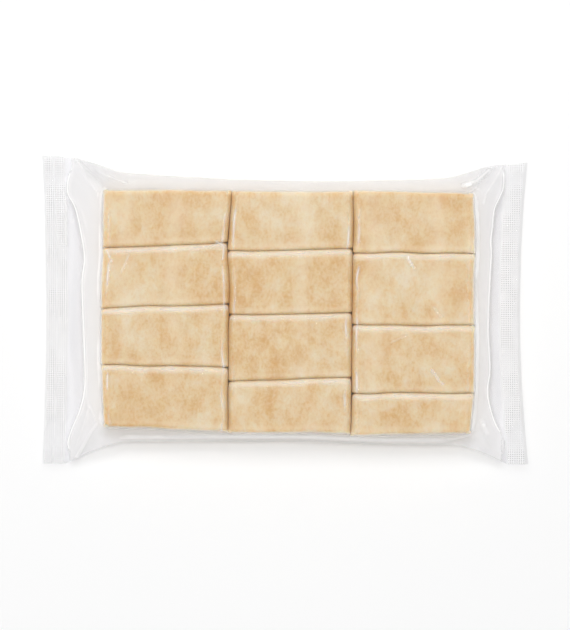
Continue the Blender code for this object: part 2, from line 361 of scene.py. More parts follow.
def foldRelief(gridX, gridY, offTofu):
    # what the folds add to the film's height, and their painted highlight and painted shade
    x, y, free = gridX.ravel(), gridY.ravel(), (offTofu + 0.0 * gridX).ravel()
    lift, white, creaseShade = np.zeros_like(x), np.zeros_like(x), np.zeros_like(x)
    for crease in filmFolds:
        line, (left, right) = crease["line"], crease["widths"]
        reach = max(left, right)
        low, high = line.min(axis=0) - reach, line.max(axis=0) + reach
        near = (x > low[0]) & (x < high[0]) & (y > low[1]) & (y < high[1])
        if not near.any():
            continue
        away, side, along = distanceTo(line, x[near], y[near])
        width = np.where(side > 0, left, right)
        start, stop = crease["fade"]
        fade = smoothStep(0.0, start, along) * smoothStep(0.0, stop, 1.0 - along)
        fade = fade * (1.0 if crease["onTofu"] else free[near])
        crest = np.clip(1.0 - (away / width) ** 2, 0.0, 1.0) ** 2 * fade
        # a streak is full near its line and gone a little past its width
        streak = smoothStep(0.0, 1.0, 1.15 - away / (1.25 * crease["streak"])) * fade
        lift[near] += crease["height"] * crest
        white[near] = np.maximum(white[near], crease["white"] * streak)
        creaseShade[near] = np.maximum(creaseShade[near], crease["creaseShade"] * streak)
    lift += pouch["ripple"] * softNoise(pouch["rippleSize"], 11, x, y) * free
    return [part.reshape(gridX.shape) for part in (lift, white, creaseShade)]


filmMesh = {
    "sealToRidge": 15,  # cells
    "ridgeToFoot": 28,
    "webCell": 0.46,
    "footCell": 0.32,
    "seamCell": 0.45,
    "seamBand": 4.0,  # fine cells this far from every seam
    "seamEase": 3.0,  # the grid eases over from column to column this far from their sides
    "openCells": (1.05, 0.8),  # along and across the pack
    "baseCells": (3.5, 3.5),
    "blockSpans": (75.0, 36.0),  # the sizes that the cells are counted on: a block's length and width
    "sideSpans": (8.0, 7.0),  # and the web beyond the near and the far foot
    "ridgeEase": 1.35,
    "ridgeClear": 0.8,  # the ridge's grid line stays this far inside the seal
    "rounds": 6,
}


def evenShares(length, cell):
    count = max(round(length / cell), 2)
    return np.arange(count) / count


def towardsRidge(count):
    # finer steps beside the ridge that ends the span
    return 1.0 - (1.0 - np.arange(count) / count) ** filmMesh["ridgeEase"]


def fromRidge(count):
    # and beside one that starts it
    return (np.arange(count) / count) ** filmMesh["ridgeEase"]


def seamShares(length, openCell):
    band = filmMesh["seamBand"]
    fine = evenShares(band, filmMesh["seamCell"]) * band
    middle = band + evenShares(length - 2 * band, openCell) * (length - 2 * band)
    return np.concatenate([fine, middle, length - band + fine]) / length


def stations(spans):
    # (mark before, share to the next mark) for every grid line
    starts = [np.full(len(shares), index) for index, shares in enumerate(spans)]
    starts = np.concatenate([*starts, [len(spans) - 1]])
    return starts.astype(int), np.concatenate([*spans, [1.0]])


def seamAt(x, seam):
    # a seam's place across the pack, all along it, easing over from column to column
    marks, ease = [], filmMesh["seamEase"]
    for column, seams in enumerate(bundle["seams"]):
        left, right = bundle["uprights"][column][seam], bundle["uprights"][column + 1][seam]
        slope = (seams[seam][1] - seams[seam][0]) / (right - left)
        marks.append((left + ease, seams[seam][0] + ease * slope))
        marks.append((right - ease, seams[seam][1] - ease * slope))
    return np.interp(x, *zip(*marks))


def ridgeAt(y, side):
    line = lineThrough(endRidges[0 if side < 0 else 1])
    line = line[line[:, 1].argsort()]
    x = np.interp(y, line[:, 1], line[:, 0])
    outermost = np.abs(endEdge(y, side)) - pouch["sealWidth"] - filmMesh["ridgeClear"]
    return side * np.minimum(np.abs(x), outermost)


def layBetween(marks, starts, shares):
    # places between the marks, which are curves across the whole grid
    marks = np.stack(marks)
    here = np.take_along_axis(marks, starts[None], 0)[0]
    there = np.take_along_axis(marks, starts[None] + 1, 0)[0]
    return between(here, there, shares)


def filmPlaces(openCells):
    # the film's grid in plan: its lines follow the outline, the ridges, the tofu's sides and the seams
    foot, seal = pouch["footReach"] + 1.0, pouch["sealWidth"]
    outer, inner = filmMesh["sealToRidge"], filmMesh["ridgeToFoot"]
    blockLength, blockWidth = filmMesh["blockSpans"]
    nearSide, farSide = [evenShares(span, filmMesh["webCell"]) for span in filmMesh["sideSpans"]]
    footShares = evenShares(foot, filmMesh["footCell"])
    alongPack = [towardsRidge(outer), fromRidge(inner), footShares]
    alongPack += [seamShares(blockLength, openCells[0])] * 3
    alongPack += [footShares, 1.0 - fromRidge(inner + 1)[:0:-1], 1.0 - towardsRidge(outer + 1)[:0:-1]]
    acrossPack = [nearSide, footShares, *[seamShares(blockWidth, openCells[1])] * 4, footShares, farSide]
    column, columnShare = stations(alongPack)
    row, rowShare = stations(acrossPack)
    startX, startY = np.broadcast_arrays(column[:, None], row[None, :])
    x = np.zeros(startX.shape)
    y = np.broadcast_to(np.linspace(-90.0, 90.0, len(row)), x.shape)  # a guess that the rounds put right
    for _ in range(filmMesh["rounds"]):
        xMarks = [endEdge(y, -1) + seal, ridgeAt(y, -1), bundleEnd(y, -1) - foot, bundleEnd(y, -1),
                  uprightAt(y, 1), uprightAt(y, 2),
                  bundleEnd(y, 1), bundleEnd(y, 1) + foot, ridgeAt(y, 1), endEdge(y, 1) - seal]
        x = layBetween(xMarks, startX, columnShare[:, None])
        yMarks = [nearEdge(x), bundleSide(x, -1) - foot, bundleSide(x, -1),
                  seamAt(x, 3), seamAt(x, 2), seamAt(x, 1),
                  bundleSide(x, 0), bundleSide(x, 0) + foot, farEdge(x)]
        y = layBetween(yMarks, startY, rowShare[None, :])
    return x, y


def bundleDepth(x, y):
    # depth inside the whole bundle's rounded outline, negative outside it
    radius = bundle["cornerRound"]
    inX = np.minimum(x - bundleEnd(y, -1), bundleEnd(y, 1) - x)
    inY = np.minimum(y - bundleSide(x, -1), bundleSide(x, 0) - y)
    cornered = radius - np.hypot(np.maximum(radius - inX, 0.0), np.maximum(radius - inY, 0.0))
    return np.where((inX < radius) | (inY < radius), cornered, np.minimum(inX, inY))


def bySide(values, x, y):
    # a value for each side (left, right, far and near), eased over round the corners
    out = np.stack([bundleEnd(y, -1) - x, x - bundleEnd(y, 1), y - bundleSide(x, 0), bundleSide(x, -1) - y])
    share = np.exp((out - out.max(0)) / pouch["cornerBlend"])
    return np.tensordot(values, share, 1) / share.sum(0)


def rimDistance(x, y):
    # how far inside the pouch's outline a place is
    sideways = np.minimum(farEdge(x) - y, y - nearEdge(x))
    return np.minimum(sideways, np.minimum(x - endEdge(y, -1), endEdge(y, 1) - x))


shine = {
    # the film puckers lengthwise along the blocks' cut ends: height, place, width, and size along x and y
    "pucker": 0.12,
    "puckerIn": 3.4,
    "puckerWidth": 1.6,
    "puckerGrain": (1.5, 8.0),
    # a painted highlight lies along their far shoulders, in a line wider on the block's side than on the
    # seam's
    "shoulderWhite": 0.3,
    "shoulderIn": 1.9,
    "shoulderWidths": (1.1, 1.9),
    # and painted glints run in broken, straying lines beside their cut ends
    "glintWhite": 0.66,
    "glintIn": 3.3,
    "glintStray": 0.9,
    "glintWidth": 0.68,
    "glintGrain": (6.0, 11.0),
    "patchSize": 9.0,
    # hardly any by the pack's right end
    "dullColumn": 2,
    "dullSpan": (100.0, 105.0),
}


def puckers(x, y, inX, seed):
    across, along = shine["puckerGrain"]
    pucker = np.clip(softNoise(1.0, 31, x / across, y / along, seed), 0.0, 1.0)
    gap = (inX - shine["puckerIn"]) / shine["puckerWidth"]
    return shine["pucker"] * pucker * np.exp(-gap ** 2)


def sheenOver(column, row, x, y, inX, inFar):
    # painted highlights: a pale line along a block's far shoulder, and glints beside its cut ends
    size, middle = shine["patchSize"], shine["shoulderIn"]
    seamSide, blockSide = shine["shoulderWidths"]
    width = np.where(inFar < middle, seamSide, blockSide)
    shoulder = shine["shoulderWhite"] * np.exp(-((inFar - middle) / width) ** 2)
    shoulder = shoulder * np.clip(0.85 + 0.4 * softNoise(size, 32, x, y), 0.3, 1.2)
    if row == 0:  # the pack's far side has none
        shoulder = 0.0 * shoulder
    across, along = shine["glintGrain"]
    stray = inX - shine["glintIn"] - shine["glintStray"] * softNoise(size, 33, x, y)
    glint = shine["glintWhite"] * np.exp(-(stray / shine["glintWidth"]) ** 2)
    glint = glint * np.clip(0.3 + 1.1 * softNoise(1.0, 34, x / across, y / along), 0.0, 1.0)
    if column == shine["dullColumn"]:
        glint = glint * (1.0 - 0.8 * smoothStep(*shine["dullSpan"], x))
    return np.maximum(shoulder, glint)


def filmRise(x, y, web, topHeights, swells):
    # how far a sheet stands off the web where it wraps the tofu, what it can't sink below, and its painted
    # sheen
    strayX, strayY = waver(x, y)
    x, y = x - strayX, y - strayY
    topRound, foot, reach = bundle["topRound"], pouch["footReach"], pouch["wallReach"]
    touching, free, sheen = np.zeros_like(x), np.zeros_like(x), np.zeros_like(x)
    toRim = smoothStep(*pouch["rimSpan"], rimDistance(x, y)) ** pouch["rimBend"]
    for (column, row), plan in blockPlans.items():
        low, high = plan.min(axis=0) - reach, plan.max(axis=0) + reach
        near = (x > low[0]) & (x < high[0]) & (y > low[1]) & (y < high[1])
        nearX, nearY = x[near], y[near]
        drop, outside, swell, inX, inFar = blockShoulder(plan, row, nearX, nearY)
        full = topHeights[column, row] - web[near]
        on = outside <= 0.0
        shoulder = full - drop + swells * bundle["crown"] * swell * (1.0 - drop / topRound)
        shoulder = shoulder + swells * puckers(nearX, nearY, inX, plan[0, 0])
        streaks = sheenOver(column, row, nearX, nearY, inX, inFar)
        sheen[near] = np.maximum(sheen[near], np.where(on, streaks, 0.0))
        footHeight = np.minimum(pouch["footRise"], full - topRound)
        gentle = footHeight * np.clip(1.0 - outside / reach, 0.0, 1.0) ** pouch["bend"]
        steep = (full - topRound - footHeight) * np.clip(1.0 - outside / foot, 0.0, 1.0)
        touching[near] = np.maximum(touching[near], np.where(on, shoulder, 0.0))
        free[near] = np.maximum(free[near], np.where(on, shoulder, (gentle + steep) * toRim[near]))
    # where the seams run out at the sides, the film bridges them in shallow grooves
    inset = bundleDepth(x, y)
    grooveTop = min(topHeights.values()) - web - pouch["grooveDepth"]
    footHeight = np.minimum(pouch["footRise"], grooveTop)
    gentle = footHeight * np.clip(1.0 + inset / reach, 0.0, 1.0) ** pouch["bend"]
    steep = (grooveTop - footHeight) * np.clip(1.0 + (inset - pouch["grooveInset"]) / foot, 0.0, 1.0)
    return np.maximum(free, (gentle + steep) * toRim), touching, sheen


def settle(height, lowest):
    # let the film bridge its sharp corners, without sinking into what it lies on
    for _ in range(pouch["settleRounds"]):
        inner = height[1:-1, 1:-1]
        around = (height[:-2, 1:-1] + height[2:, 1:-1] + height[1:-1, :-2] + height[1:-1, 2:]) / 4
        height[1:-1, 1:-1] = np.maximum(between(inner, around, pouch["settleShare"]), lowest[1:-1, 1:-1])
    return height


def addObject(name, data):
    thing = bpy.data.objects.new(name, data)
    bpy.context.scene.collection.objects.link(thing)
    return thing


def makeMesh(name, places, faces, material, attributes):
    mesh = bpy.data.meshes.new(name)
    mesh.vertices.add(len(places))
    mesh.vertices.foreach_set("co", (np.asarray(places) * mm).astype(np.float32).ravel())
    mesh.loops.add(faces.size)
    mesh.loops.foreach_set("vertex_index", faces.astype(np.int32).ravel())
    mesh.polygons.add(len(faces))
    mesh.polygons.foreach_set("loop_start", np.arange(0, faces.size, 4, dtype=np.int32))
    mesh.update(calc_edges=True)
    mesh.validate()
    for label, values in attributes.items():
        layer = mesh.attributes.new(label, 'FLOAT', 'POINT')
        layer.data.foreach_set("value", np.asarray(values, np.float32).ravel())
    mesh.materials.append(material)
    mesh.shade_smooth()
    return addObject(name, mesh)


def makeFilm(name, x, y, z, faceUp, white, grey, material):
    # film laid over a grid of places
    index = np.arange(x.size).reshape(x.shape)
    quads = np.stack([index[:-1, :-1], index[1:, :-1], index[1:, 1:], index[:-1, 1:]], -1)
    faces = quads.reshape(-1, 4)[:, ::1 if faceUp else -1]
    places = np.stack([x, y, z], -1).reshape(-1, 3)
    return makeMesh(name, places, faces, material, {"hazeAndHighlight": white, "doubledFilmAndShade": grey})


def hexColour(code):
    # sRGB hex to the linear colour that a shader takes
    parts = [int(code[i:i + 2], 16) / 255 for i in (1, 3, 5)]
    return (*[p / 12.92 if p <= 0.04045 else ((p + 0.055) / 1.055) ** 2.4 for p in parts], 1.0)


def addNode(nodeTree, kind, inputs=None, **settings):
    # an input takes a value or a socket
    node = nodeTree.nodes.new('ShaderNode' + kind)
    for name, value in settings.items():
        setattr(node, name, value)
    for socket, value in (inputs or {}).items():
        if isinstance(value, bpy.types.NodeSocket):
            nodeTree.links.new(value, node.inputs[socket])
        else:
            node.inputs[socket].default_value = value
    return node


def newMaterial(name):
    material = bpy.data.materials.new(name)
    material.use_nodes = True
    material.node_tree.nodes.clear()
    return material, material.node_tree


filmLook = {
    "clear": "#FDFDFE",
    "gloss": "#FFFFFF",
    "glossRoughness": 0.12,
    "mirror": 0.035,  # both faces of the thin film together, seen straight on
    "grazingMirror": 0.9,
    "grazingPower": 5.0,
    # the white haze, which also carries the painted highlights and painted light
    "hazeAndPaintedLight": "#FDFCFC",
    "hazeRoughness": 0.5,
    # grey of doubled film, also used as painted shade
    "doubledAndShaded": "#E8E8E8",
}


def coextrudedPouchFilm():
    # Co-extruded nylon and polyethylene film, cast clear and glossy: almost all light goes through. Its
    # white haze paints highlights along creases, shoulders and the wall's foot and light over the web; its
    # grey paints shade along dark creases, the near hem and the far web, and a fold that doubles the film
    # is a little greyer.
    material, tree = newMaterial("co-extruded pouch film")
    whitening = addNode(tree, 'Attribute', attribute_name="hazeAndHighlight")
    doublingAndShade = addNode(tree, 'Attribute', attribute_name="doubledFilmAndShade")
    tint = addNode(tree, 'Mix', {
        0: doublingAndShade.outputs["Fac"], 6: hexColour(filmLook["clear"]), 7: hexColour(filmLook["doubledAndShaded"])},
        data_type='RGBA')
    clear = addNode(tree, 'BsdfTransparent', {"Color": tint.outputs[2]})
    haze = addNode(tree, 'BsdfPrincipled', {
        "Base Color": hexColour(filmLook["hazeAndPaintedLight"]), "Roughness": filmLook["hazeRoughness"]})
    hazed = addNode(tree, 'MixShader', {
        0: whitening.outputs["Fac"], 1: clear.outputs[0], 2: haze.outputs[0]})
    gloss = addNode(tree, 'BsdfPrincipled', {
        "Base Color": hexColour(filmLook["gloss"]), "Metallic": 1.0,
        "Roughness": filmLook["glossRoughness"]})
    facing = addNode(tree, 'LayerWeight', {"Blend": 0.5})
    grazing = addNode(tree, 'Math', {0: facing.outputs["Facing"], 1: filmLook["grazingPower"]},
                      operation='POWER')
    mirror = addNode(tree, 'MapRange', {
        0: grazing.outputs[0], 3: filmLook["mirror"], 4: filmLook["grazingMirror"]})
    mixed = addNode(tree, 'MixShader', {
        0: mirror.outputs[0], 1: hazed.outputs[0], 2: gloss.outputs[0]})
    addNode(tree, 'OutputMaterial', {"Surface": mixed.outputs[0]})
    return material


hazeAndPaintedLight = {
    # by side: left, right, far and near
    "footWhite": (0.72, 0.85, 0.22, 0.1),  # painted highlight along the crease at the foot of the wall
    "webWhite": (0.52, 0.48, 0.2, 0.4),  # and painted light over the web, out to the ridges
    "webGrey": (0.0, 0.0, 0.3, 0.0),  # painted shade over the far web
    "flatGrey": 0.13,  # the flat film outside the ridges reflects from both faces
    "ridgeSpan": (-0.6, 0.4),
    "footWidths": (2.2, 1.6),  # how far the crease's whitening fades out, inwards and outwards
    "footPatch": 14.0,
    "webStart": (0.4, 1.6),
    # a paler band inside the near edge: how far in, half width and strength, and where it ends
    "nearBand": (3.0, 1.9, 0.85),
    "nearBandEnd": (95.0, 110.0),
    "hemGrey": 0.8,  # painted shade along the near cut edge, which is fainter towards its corners
    "hemWidth": (0.5, 1.6),
    "hemEnd": (90.0, 115.0),
}


def paintedFilmLight(x, y, beyond, offTofu):
    # how white and how grey the film is: painted highlight at the wall's foot, painted light over the web,
    # a paler band inside the near edge, and painted shade on the far web and along the near hem
    pastFoot = beyond - pouch["footReach"] - 1.0
    inner, outer = hazeAndPaintedLight["footWidths"]
    foot = 1.0 - smoothStep(0.6, np.where(pastFoot < 0, inner, outer), np.abs(pastFoot))
    patches = np.clip(0.92 + 0.35 * softNoise(hazeAndPaintedLight["footPatch"], 41, x, y), 0.7, 1.0)
    foot = bySide(hazeAndPaintedLight["footWhite"], x, y) * foot * patches
    pastRidge = np.where(x < 0, ridgeAt(y, -1) - x, x - ridgeAt(y, 1))
    outside = smoothStep(*hazeAndPaintedLight["ridgeSpan"], pastRidge)
    webLight = smoothStep(*hazeAndPaintedLight["webStart"], beyond) * (1.0 - outside)
    webLight = bySide(hazeAndPaintedLight["webWhite"], x, y) * webLight
    inset, halfWidth, strength = hazeAndPaintedLight["nearBand"]
    fromEdge = y - nearEdge(x)
    band = strength * np.exp(-((fromEdge - inset) / halfWidth) ** 2)
    band = band * (1.0 - smoothStep(*hazeAndPaintedLight["nearBandEnd"], np.abs(x)))
    hem = hazeAndPaintedLight["hemGrey"] * (1.0 - smoothStep(*hazeAndPaintedLight["hemWidth"], fromEdge))
    hem = hem * (1.0 - 0.7 * smoothStep(*hazeAndPaintedLight["hemEnd"], np.abs(x)))
    grey = between(bySide(hazeAndPaintedLight["webGrey"], x, y), hazeAndPaintedLight["flatGrey"], outside) * offTofu
    return np.maximum.reduce([foot, webLight, band * offTofu]), grey, hem


def makeSheet(name, openCells, material, isTop):
    x, y = filmPlaces(openCells)
    web = webMiddle(x, y)
    strayX, strayY = waver(x, y)
    beyond = -bundleDepth(x - strayX, y - strayY)
    offTofu = smoothStep(-0.2, 1.0, beyond)
    # the white carries painted highlights and painted light, and the grey painted shade besides doubled
    # film
    folds, creaseHighlight, creaseShade = foldRelief(x, y, offTofu)
    wallAndWebLight, grey, hem = paintedFilmLight(x, y, beyond, offTofu)
    white = np.maximum(creaseHighlight, wallAndWebLight)
    if isTop:
        tops = {key: blockHeight(*key) for key in blockPlans}
        rise, touching, sheen = filmRise(x, y, web, tops, 1.0)
        z = web + settle(rise, touching) + folds
        white = np.maximum(white, sheen)
    else:
        floors = dict.fromkeys(blockPlans, 2 * pouch["webHeight"] - pouch["restGap"])
        drop, touching, _ = filmRise(x, y, web, floors, 0.0)
        z = web - settle(drop, touching) + folds * offTofu - pouch["layerGap"]
        z = np.maximum(z, pouch["restGap"])
        white = white * offTofu
    return makeFilm(name, x, y, z, isTop, white, grey + np.maximum(creaseShade, hem), material)


sealPress = {
    "cell": 0.34,
    "pitch": 1.35,  # the pressed waffle's
    "depth": 0.03,
    "fused": 0.3,  # both sheets in one: a little greyer all over
    "rims": (0.8, 1.9),  # left and right: the unpressed rim outside the pattern, and how grey it is
    "rimGrey": 0.35,
    "fog": 0.16,
    "dotWhite": 0.38,
    "dotGrey": 0.22,
    "bandEdge": 0.3,
    "rimEdge": 0.5,
    # how deeply it is pressed from place to place: usual, spread, least, and the size of the patches
    "wear": (0.7, 0.55, 0.35),
    "wearSize": 9.0,
    "leftBands": ((0.9, 6.3), (6.8, 13.0)),  # from the cut edge inwards
    "rightBands": ((1.9, 12.3),),
}


def makeEndSeal(name, side, material):
    # both sheets fused and pressed with a fine waffle pattern
    width, cell = pouch["sealWidth"], sealPress["cell"]
    across = np.linspace(0.0, 1.0, round(width / cell) + 1)[:, None]
    along = np.linspace(0.0, 1.0, round(2 * pouch["halfWidth"] / cell) + 1)[None, :]
    y = between(-pouch["halfWidth"], pouch["halfWidth"], along) + 0.0 * across
    for _ in range(4):
        edge = endEdge(y, side)
        x = between(edge, edge - side * width, across)
        y = between(nearEdge(x), farEdge(x), along)
    folds, white, creaseShade = foldRelief(x, y, 1.0)
    deep = np.abs(x - endEdge(y, side))
    pressed, edge = np.zeros_like(x), sealPress["bandEdge"]
    for low, high in sealPress["leftBands" if side < 0 else "rightBands"]:
        starts, stops = [smoothStep(mark - edge, mark + edge, deep) for mark in (low, high)]
        pressed += starts * (1.0 - stops)
    usual, spread, least = sealPress["wear"]
    worn = usual + spread * softNoise(sealPress["wearSize"], 21, x, y)
    turn = 2.0 * math.pi / sealPress["pitch"]
    waffle = (np.cos(turn * x) + np.cos(turn * y)) / 2
    dots = pressed * np.clip(worn, least, 1.0)
    z = webMiddle(x, y) + folds + sealPress["depth"] * waffle * dots
    rimWidth = sealPress["rims"][0 if side < 0 else 1]
    rim = sealPress["rimGrey"] * (1.0 - smoothStep(rimWidth - sealPress["rimEdge"], rimWidth, deep))
    pressedWhite = dots * (sealPress["fog"] + sealPress["dotWhite"] * np.maximum(waffle, 0.0))
    pressedGrey = rim + sealPress["dotGrey"] * dots * np.maximum(-waffle, 0.0)
    grey = sealPress["fused"] + creaseShade + pressedGrey
    return makeFilm(name, x, y, z, side < 0, np.maximum(white, pressedWhite), grey, material)


tofuMesh = {
    "cell": 1.15,
    "edgeCells": 6,
    "clearance": 0.25,  # tofu to film, above and below
}


def latticePlaces(length, low, high):
    # places along one side of a block, closer together in its two rounded edges
    eased = 1.0 - np.cos(np.linspace(0.0, math.pi / 2, tofuMesh["edgeCells"] + 1))[:-1]
    count = max(round((length - low - high) / tofuMesh["cell"]), 2)
    middle = np.linspace(low, length - high, count + 1)
    return np.concatenate([low * eased, middle, length - high * eased[::-1]])


def shellOf(nx, ny, nz):
    # the outside of a lattice of points, as indices and quads that face outwards
    inside = np.zeros((nx, ny, nz), bool)
    inside[1:-1, 1:-1, 1:-1] = True
    order = np.cumsum(~inside.ravel()).reshape(inside.shape) - 1
    quads = []
    for axis in range(3):
        for end in (0, -1):
            face = np.take(order, end, axis=axis)
            square = np.stack([face[:-1, :-1], face[1:, :-1], face[1:, 1:], face[:-1, 1:]], -1)
            square = square.reshape(-1, 4)
            outward = (end == -1) == (axis != 1)
            quads.append(square if outward else square[:, ::-1])
    return np.argwhere(~inside), np.concatenate(quads)


tones = {
    # the rind, with painted shade in the gaps between blocks, darkens the sides below the rounded edge,
    # over this depth
    "rindTop": 2.2,
    "rindDepth": 12.0,
    "rindInside": (0.5, 3.5),  # not on the pack's own sides, which are painted pale instead, as painted light
    "brownEdges": ((3.0, 0.7), (3.6, 0.2)),  # painted shade with some browning, by the cut ends and the near side: how far in, how strongly
    # painted light: paler curd along the seams between rows, lifting their shade
    "seamPale": 0.38,
    "seamWidth": (0.2, 1.1),
    "shoulderPale": (0.0, 0.62),  # painted highlight over the far shoulder, in the far row and in the others
    "shoulderEdge": (-0.2, 1.4),
    "shoulderSpan": (1.6, 5.6),
    "shoulderStray": 0.6,
    "nearPale": (2.9, 1.3, 0.25),  # a paler band along the near side: how far in, half width and strength
    # painted light: paler towards the far row
    "farRowPale": 0.06,
    "outerPale": (0.5, 1.0),  # painted light down the pack's own sides, in the far row and in the others
    "outerSpan": (-0.8, 0.2),
    # upright paler bands, fading towards the near row: middle along the pack, half width, strength
    "uprightPaleBands": ((-99.0, 5.0, 0.28), (-68.0, 5.5, 0.42), (11.0, 4.5, 0.3), (54.0, 5.0, 0.36),
                  (93.0, 5.5, 0.34)),
    "uprightPaleStray": 2.5,
    "uprightPaleNearRow": 0.4,  # how much of them is left in the near row
}


def tofuPlaces(column, row):
    # the block as a rounded box, set out on its plan: its places and faces, and how far along each is
    plan, topRound = blockPlans[column, row], bundle["topRound"]
    height = blockHeight(column, row) - pouch["restGap"] - 2 * tofuMesh["clearance"]
    lengthX = (plan[1, 0] - plan[0, 0] + plan[2, 0] - plan[3, 0]) / 2
    lengthY = (plan[3, 1] - plan[0, 1] + plan[2, 1] - plan[1, 1]) / 2
    sizes = np.array((lengthX, lengthY, height))
    lows = np.array((bundle["endRound"], bundle["nearRound"], topRound))
    highs = np.array((bundle["endRound"], bundle["farRounds"][min(row, 1)], topRound))
    lines = [latticePlaces(*measures) for measures in zip(sizes, lows, highs)]
    index, faces = shellOf(*[len(line) for line in lines])
    boxed = np.stack([line[index[:, axis]] for axis, line in enumerate(lines)], -1)
    core = np.clip(boxed, lows, sizes - highs)
    rounds = np.where(boxed < core, lows, highs)
    out = (boxed - core) / rounds
    # the upright edges are softest at the top and nearly square further down
    depth = np.minimum(boxed[:, 2], sizes[2] - boxed[:, 2]) / topRound
    power = between(*bundle["squarePowers"], smoothStep(*bundle["squareDepths"], depth))
    planReach = (np.abs(out[:, 0]) ** power + np.abs(out[:, 1]) ** power) ** (1.0 / power)
    reach = np.hypot(planReach, out[:, 2])[:, None]
    normal = np.divide(out, reach, out=np.zeros_like(out), where=reach > 1e-9)
    rounded = core + normal * rounds
    u, v = rounded[:, :1] / lengthX, rounded[:, 1:2] / lengthY
    flat = between(between(plan[0], plan[1], u), between(plan[3], plan[2], u), v)
    flat = flat + np.stack(waver(*flat.T), -1)
    low = rounded[:, 2:]
    grows, goes = [smoothStep(*span, low) for span in bundle["bellyHeights"]]
    belly = bundle["belly"] * grows * (1.0 - goes)
    flat[:, :1] -= belly * (column == 0) * smoothStep(0.5, 0.0, u)
    flat[:, :1] += belly * (column == 2) * smoothStep(0.5, 1.0, u)
    flat[:, 1:] += belly * (row == 0) * smoothStep(0.3, 1.0, v)
    flat[:, 1:] -= belly * (row == 3) * smoothStep(0.7, 0.0, v)
    z = low + bundle["crown"] * bulge(u, v) * (low / height) ** 3 + pouch["restGap"] + tofuMesh["clearance"]
    insets = [np.minimum(u, 1.0 - u) * lengthX, v * lengthY, (1.0 - v) * lengthY]
    return flat, z, faces, [inset[:, 0] for inset in insets], height - z[:, 0]


def makeTofu(column, row, material):
    flat, z, faces, (inEnd, inNear, inFar), depth = tofuPlaces(column, row)
    inside = bundleDepth(*flat.T)
    among = smoothStep(*tones["rindInside"], inside)
    # browner down the cut sides: rind, and painted shade between the blocks
    rindAndShade = np.clip((depth - tones["rindTop"]) / tones["rindDepth"], 0.0, 1.0)
    for gap, (span, strength) in zip((inEnd, inNear), tones["brownEdges"]):
        rindAndShade = np.maximum(rindAndShade, strength * (1.0 - smoothStep(0.0, span, gap)))
    rindAndShade = rindAndShade * among * np.clip(0.8 + 0.5 * softNoise(16.0, 54, *flat.T), 0.3, 1.1)
    # paler over the far shoulder, at the seams, down the outer sides and towards the far row, all painted
    # light, and in upright bands
    start, stop = tones["shoulderSpan"]
    stray = tones["shoulderStray"] * softNoise(8.0, 53, *flat.T)
    pale = tones["shoulderPale"][min(row, 1)] * (1.0 - smoothStep(start, stop, inFar - stray))
    pale = pale * smoothStep(*tones["shoulderEdge"], inFar)
    pale = pale + tones["farRowPale"] * (1.0 - row / 3)
    inset, halfWidth, strength = tones["nearPale"]
    pale = pale + strength * np.exp(-((inNear - inset) / halfWidth) ** 2)
    seamPale = 1.0 - smoothStep(*tones["seamWidth"], np.minimum(inNear, inFar))
    pale = np.maximum(pale, tones["seamPale"] * seamPale * among)
    outerPale = (1.0 - smoothStep(*tones["outerSpan"], inside)) * tones["outerPale"][min(row, 1)]
    pale = np.maximum(pale, outerPale)
    for middle, halfWidth, strength in tones["uprightPaleBands"]:
        wander = middle + tones["uprightPaleStray"] * softNoise(22.0, 51, *flat.T)
        band = strength * np.exp(-((flat[:, 0] - wander) / halfWidth) ** 2)
        band = band * between(1.0, tones["uprightPaleNearRow"], row / 3)
        pale = pale + band * np.clip(0.8 + 0.5 * softNoise(12.0, 52, *flat.T), 0.2, 1.2)
    places = np.concatenate([flat, z], axis=1)
    return makeMesh(f"tofu_block_{column + 1}_{row + 1}", places, faces, material,
                    {"rindAndShade": rindAndShade, "paleAndPaintedLight": np.clip(pale, 0.0, 1.0)})


tofuLook = {
    "golden": "#DBB37B",
    "flesh": "#E5CBA0",
    "pale": "#EADBBE",
    # the cream that the painted highlights and painted light mix to
    "shoulder": "#F4E6CB",
    "speck": "#C4924F",
    # brown of the rind and of the painted shade between blocks
    "rindAndShade": "#C99756",
    "rampStops": (0.39, 0.505, 0.62),  # golden, flesh and pale
    "speckTones": (0.62, 0.74),  # specks where the grain's noise is over these
    "speckShare": 0.14,
    # size in millimetres, share and detail of slow clouds, blotches, mottling and the curd's own grain,
    # which is about three times too coarse so that it shows
    "layers": ((40.0, 0.22, 1.0), (13.0, 0.36, 2.0), (4.5, 0.17, 3.0), (1.5, 0.25, 2.0)),
    "stretch": (1.15, 0.8, 1.0),  # the blotches run a little across the pack
    "softness": 0.55,  # the noises' own roughness
    "roughness": 0.5,
    "ior": 1.38,
    "grainBump": 0.1,
    "grainDepth": 0.0004,
    "seeThrough": 0.6,
    "seeThroughRadius": (1.0, 0.7, 0.4),
    "seeThroughDepth": 0.003,
}


